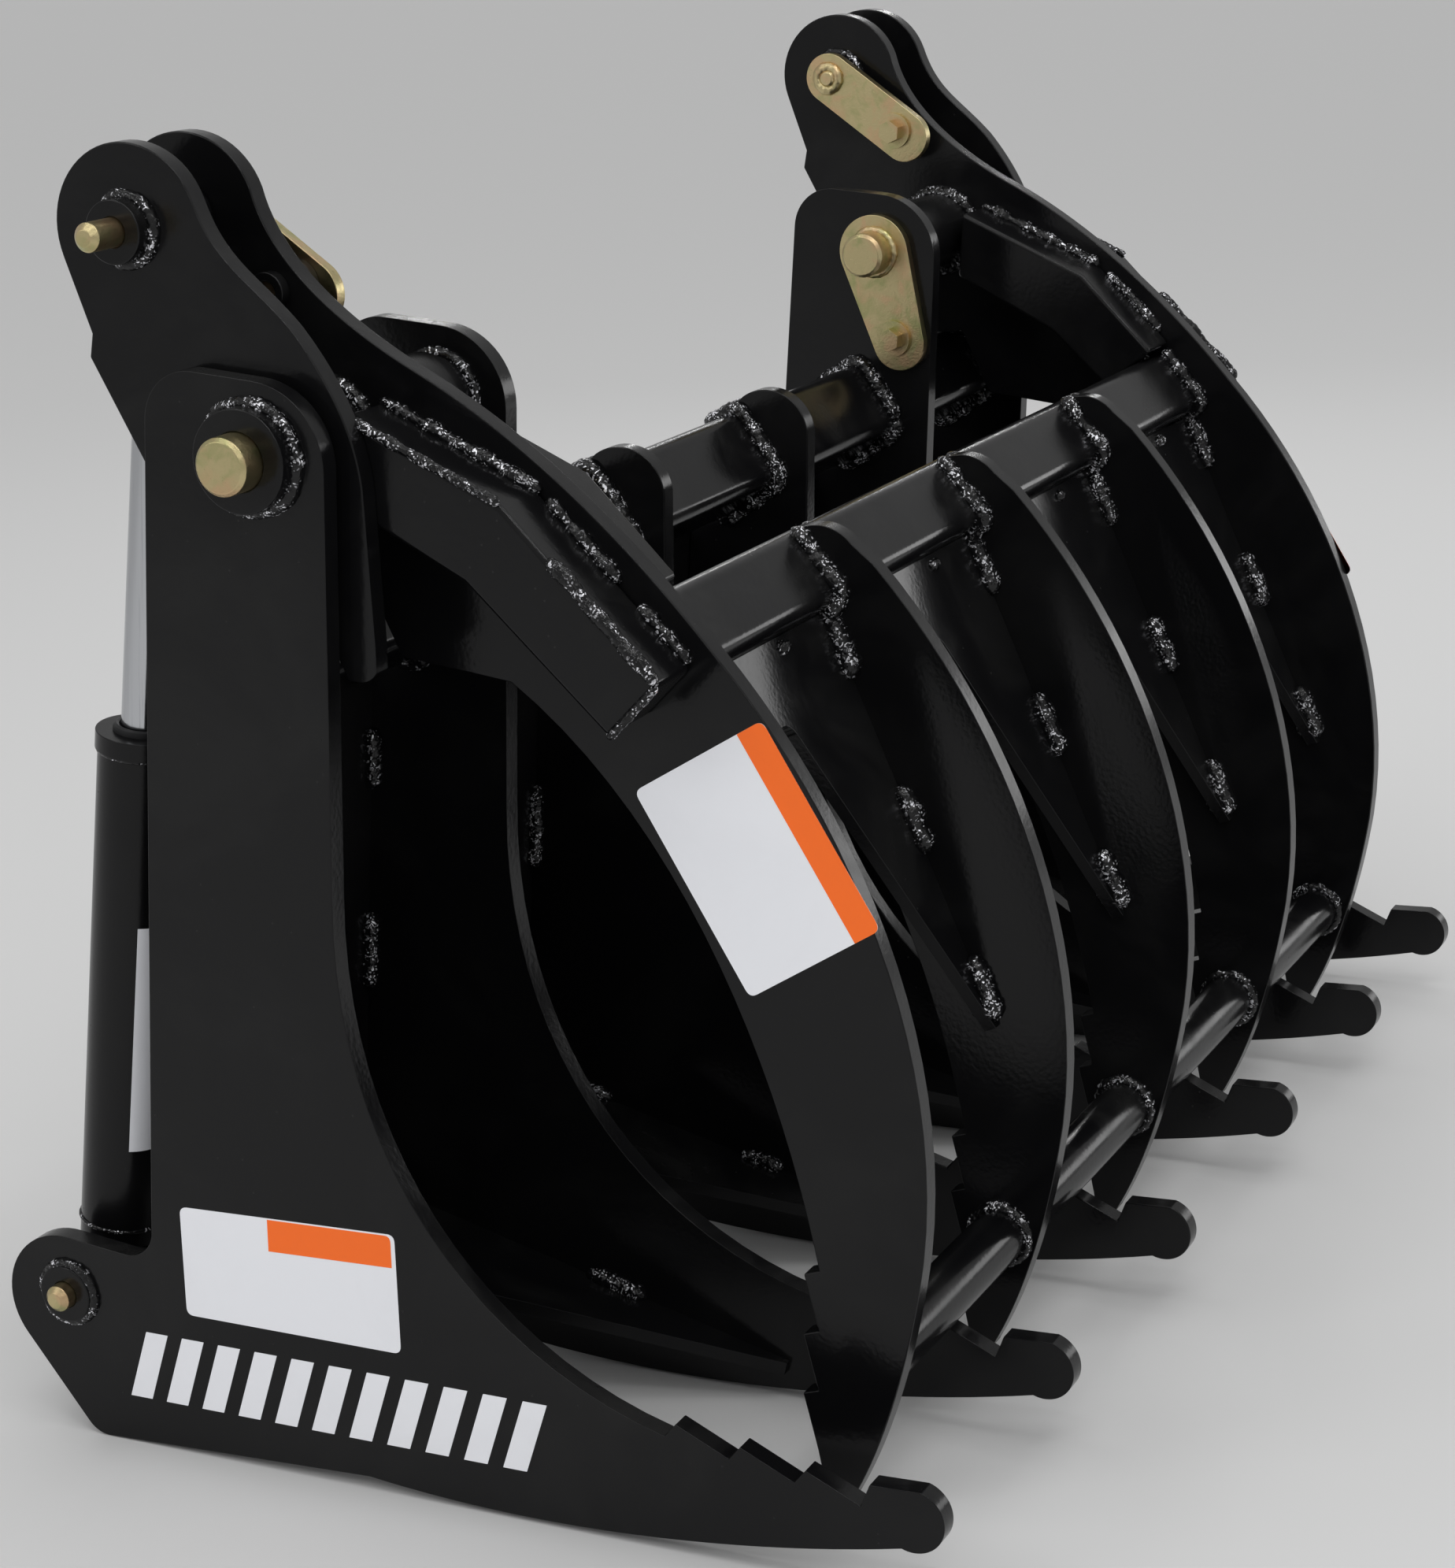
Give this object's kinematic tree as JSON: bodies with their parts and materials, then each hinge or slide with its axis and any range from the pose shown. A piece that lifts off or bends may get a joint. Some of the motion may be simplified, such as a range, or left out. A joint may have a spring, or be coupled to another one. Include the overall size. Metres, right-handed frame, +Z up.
{
  "type": "claw grapple attachment",
  "caption": "Claw grapple for a compact loader: toothed lower and upper jaws of steel plate on a common pivot, swung by a hydraulic cylinder on each side.",
  "frame": {"origin": "centre of the rear face of the coupler plate, which meets the machine", "axes": "+X across, +Y forward to the tips, +Z up with the coupler plate upright"},
  "size_m": [1.076, 0.6038, 0.7655],
  "materials": {
    "black_paint": "gloss black paint",
    "zinc": "yellow zinc plate",
    "rod_chrome": "ground and chromed",
    "piston_steel": "machined"
  },
  "bodies": {
    "lower_jaw": {"side_plate_right": "black_paint", "side_plate_left": "black_paint", "tower_plate_right": "black_paint", "tower_plate_left": "black_paint", "lower_tine_right": "black_paint", "lower_tine_left": "black_paint", "back_sheet": "black_paint", "back_tube": "black_paint", "coupler_plate": "black_paint", "coupler_hook": "black_paint", "coupler_foot": "black_paint", "coupler_ribs": "black_paint", "base_lugs": "black_paint", "pivot_collars": "black_paint", "base_collars": "black_paint", "pivot_pin_right": "zinc", "pivot_pin_left": "zinc", "pivot_keepers": "zinc", "pivot_bolts": "zinc", "base_pin_right": "zinc", "base_pin_left": "zinc", "base_keepers": "zinc", "base_bolts": "zinc"},
    "upper_jaw": {"outer_tine_right": "black_paint", "outer_tine_left": "black_paint", "ear_right": "black_paint", "ear_left": "black_paint", "upper_tine_right": "black_paint", "upper_tine_middle": "black_paint", "upper_tine_left": "black_paint", "upper_tube": "black_paint", "lower_pipe": "black_paint", "apron": "black_paint", "outer_box_right": "black_paint", "outer_box_left": "black_paint", "inner_box_right": "black_paint", "inner_box_left": "black_paint", "hub_tube_right": "black_paint", "hub_tube_left": "black_paint", "rod_collars": "black_paint", "rod_pin_right": "zinc", "rod_pin_left": "zinc", "rod_keepers": "zinc", "rod_bolts": "zinc"},
    "barrel_right": {"barrel_right": "black_paint", "base_eye_right": "black_paint", "gland_right": "black_paint", "ports_right": "black_paint"},
    "rod_right": {"rod_right": "rod_chrome", "piston_right": "piston_steel"},
    "rod_eye_right": {"rod_eye_right": "black_paint"},
    "barrel_left": {"barrel_left": "black_paint", "base_eye_left": "black_paint", "gland_left": "black_paint", "ports_left": "black_paint"},
    "rod_left": {"rod_left": "rod_chrome", "piston_left": "piston_steel"},
    "rod_eye_left": {"rod_eye_left": "black_paint"}
  },
  "joints": [
    {"name": "jaw_hinge", "type": "hinge", "parent": "lower_jaw", "child": "upper_jaw", "pos_m": [0, 0.068, 0.31], "axis": [1, 0, 0], "range_deg": [0, 65]},
    {"name": "barrel_swing_right", "type": "hinge", "parent": "lower_jaw", "child": "barrel_right", "pos_m": [0.4558, -0.059, -0.214], "axis": [1, 0, 0], "range_deg": [0, 4.24]},
    {"name": "rod_slide_right", "type": "slide", "parent": "barrel_right", "child": "rod_right", "axis": [0, 0.0554, 0.9985], "range_m": [-0.14635, 0]},
    {"name": "rod_eye_turn_right", "type": "hinge", "parent": "upper_jaw", "child": "rod_eye_right", "pos_m": [0.4558, -0.024, 0.417], "axis": [1, 0, 0], "range_deg": [-60.83, 0]},
    {"name": "barrel_swing_left", "type": "hinge", "parent": "lower_jaw", "child": "barrel_left", "pos_m": [-0.4558, -0.059, -0.214], "axis": [1, 0, 0], "range_deg": [0, 4.24]},
    {"name": "rod_slide_left", "type": "slide", "parent": "barrel_left", "child": "rod_left", "axis": [0, 0.0554, 0.9985], "range_m": [-0.14635, 0]},
    {"name": "rod_eye_turn_left", "type": "hinge", "parent": "upper_jaw", "child": "rod_eye_left", "pos_m": [-0.4558, -0.024, 0.417], "axis": [1, 0, 0], "range_deg": [-60.83, 0]}
  ],
  "couplings": [
    {"joint": "barrel_swing_right", "follows": "jaw_hinge", "ratio": 0.064909},
    {"joint": "rod_slide_right", "follows": "jaw_hinge", "m_per_rad": -0.12874},
    {"joint": "rod_eye_turn_right", "follows": "jaw_hinge", "ratio": -0.93509},
    {"joint": "barrel_swing_left", "follows": "jaw_hinge", "ratio": 0.064909},
    {"joint": "rod_slide_left", "follows": "jaw_hinge", "m_per_rad": -0.12874},
    {"joint": "rod_eye_turn_left", "follows": "jaw_hinge", "ratio": -0.93509}
  ]
}
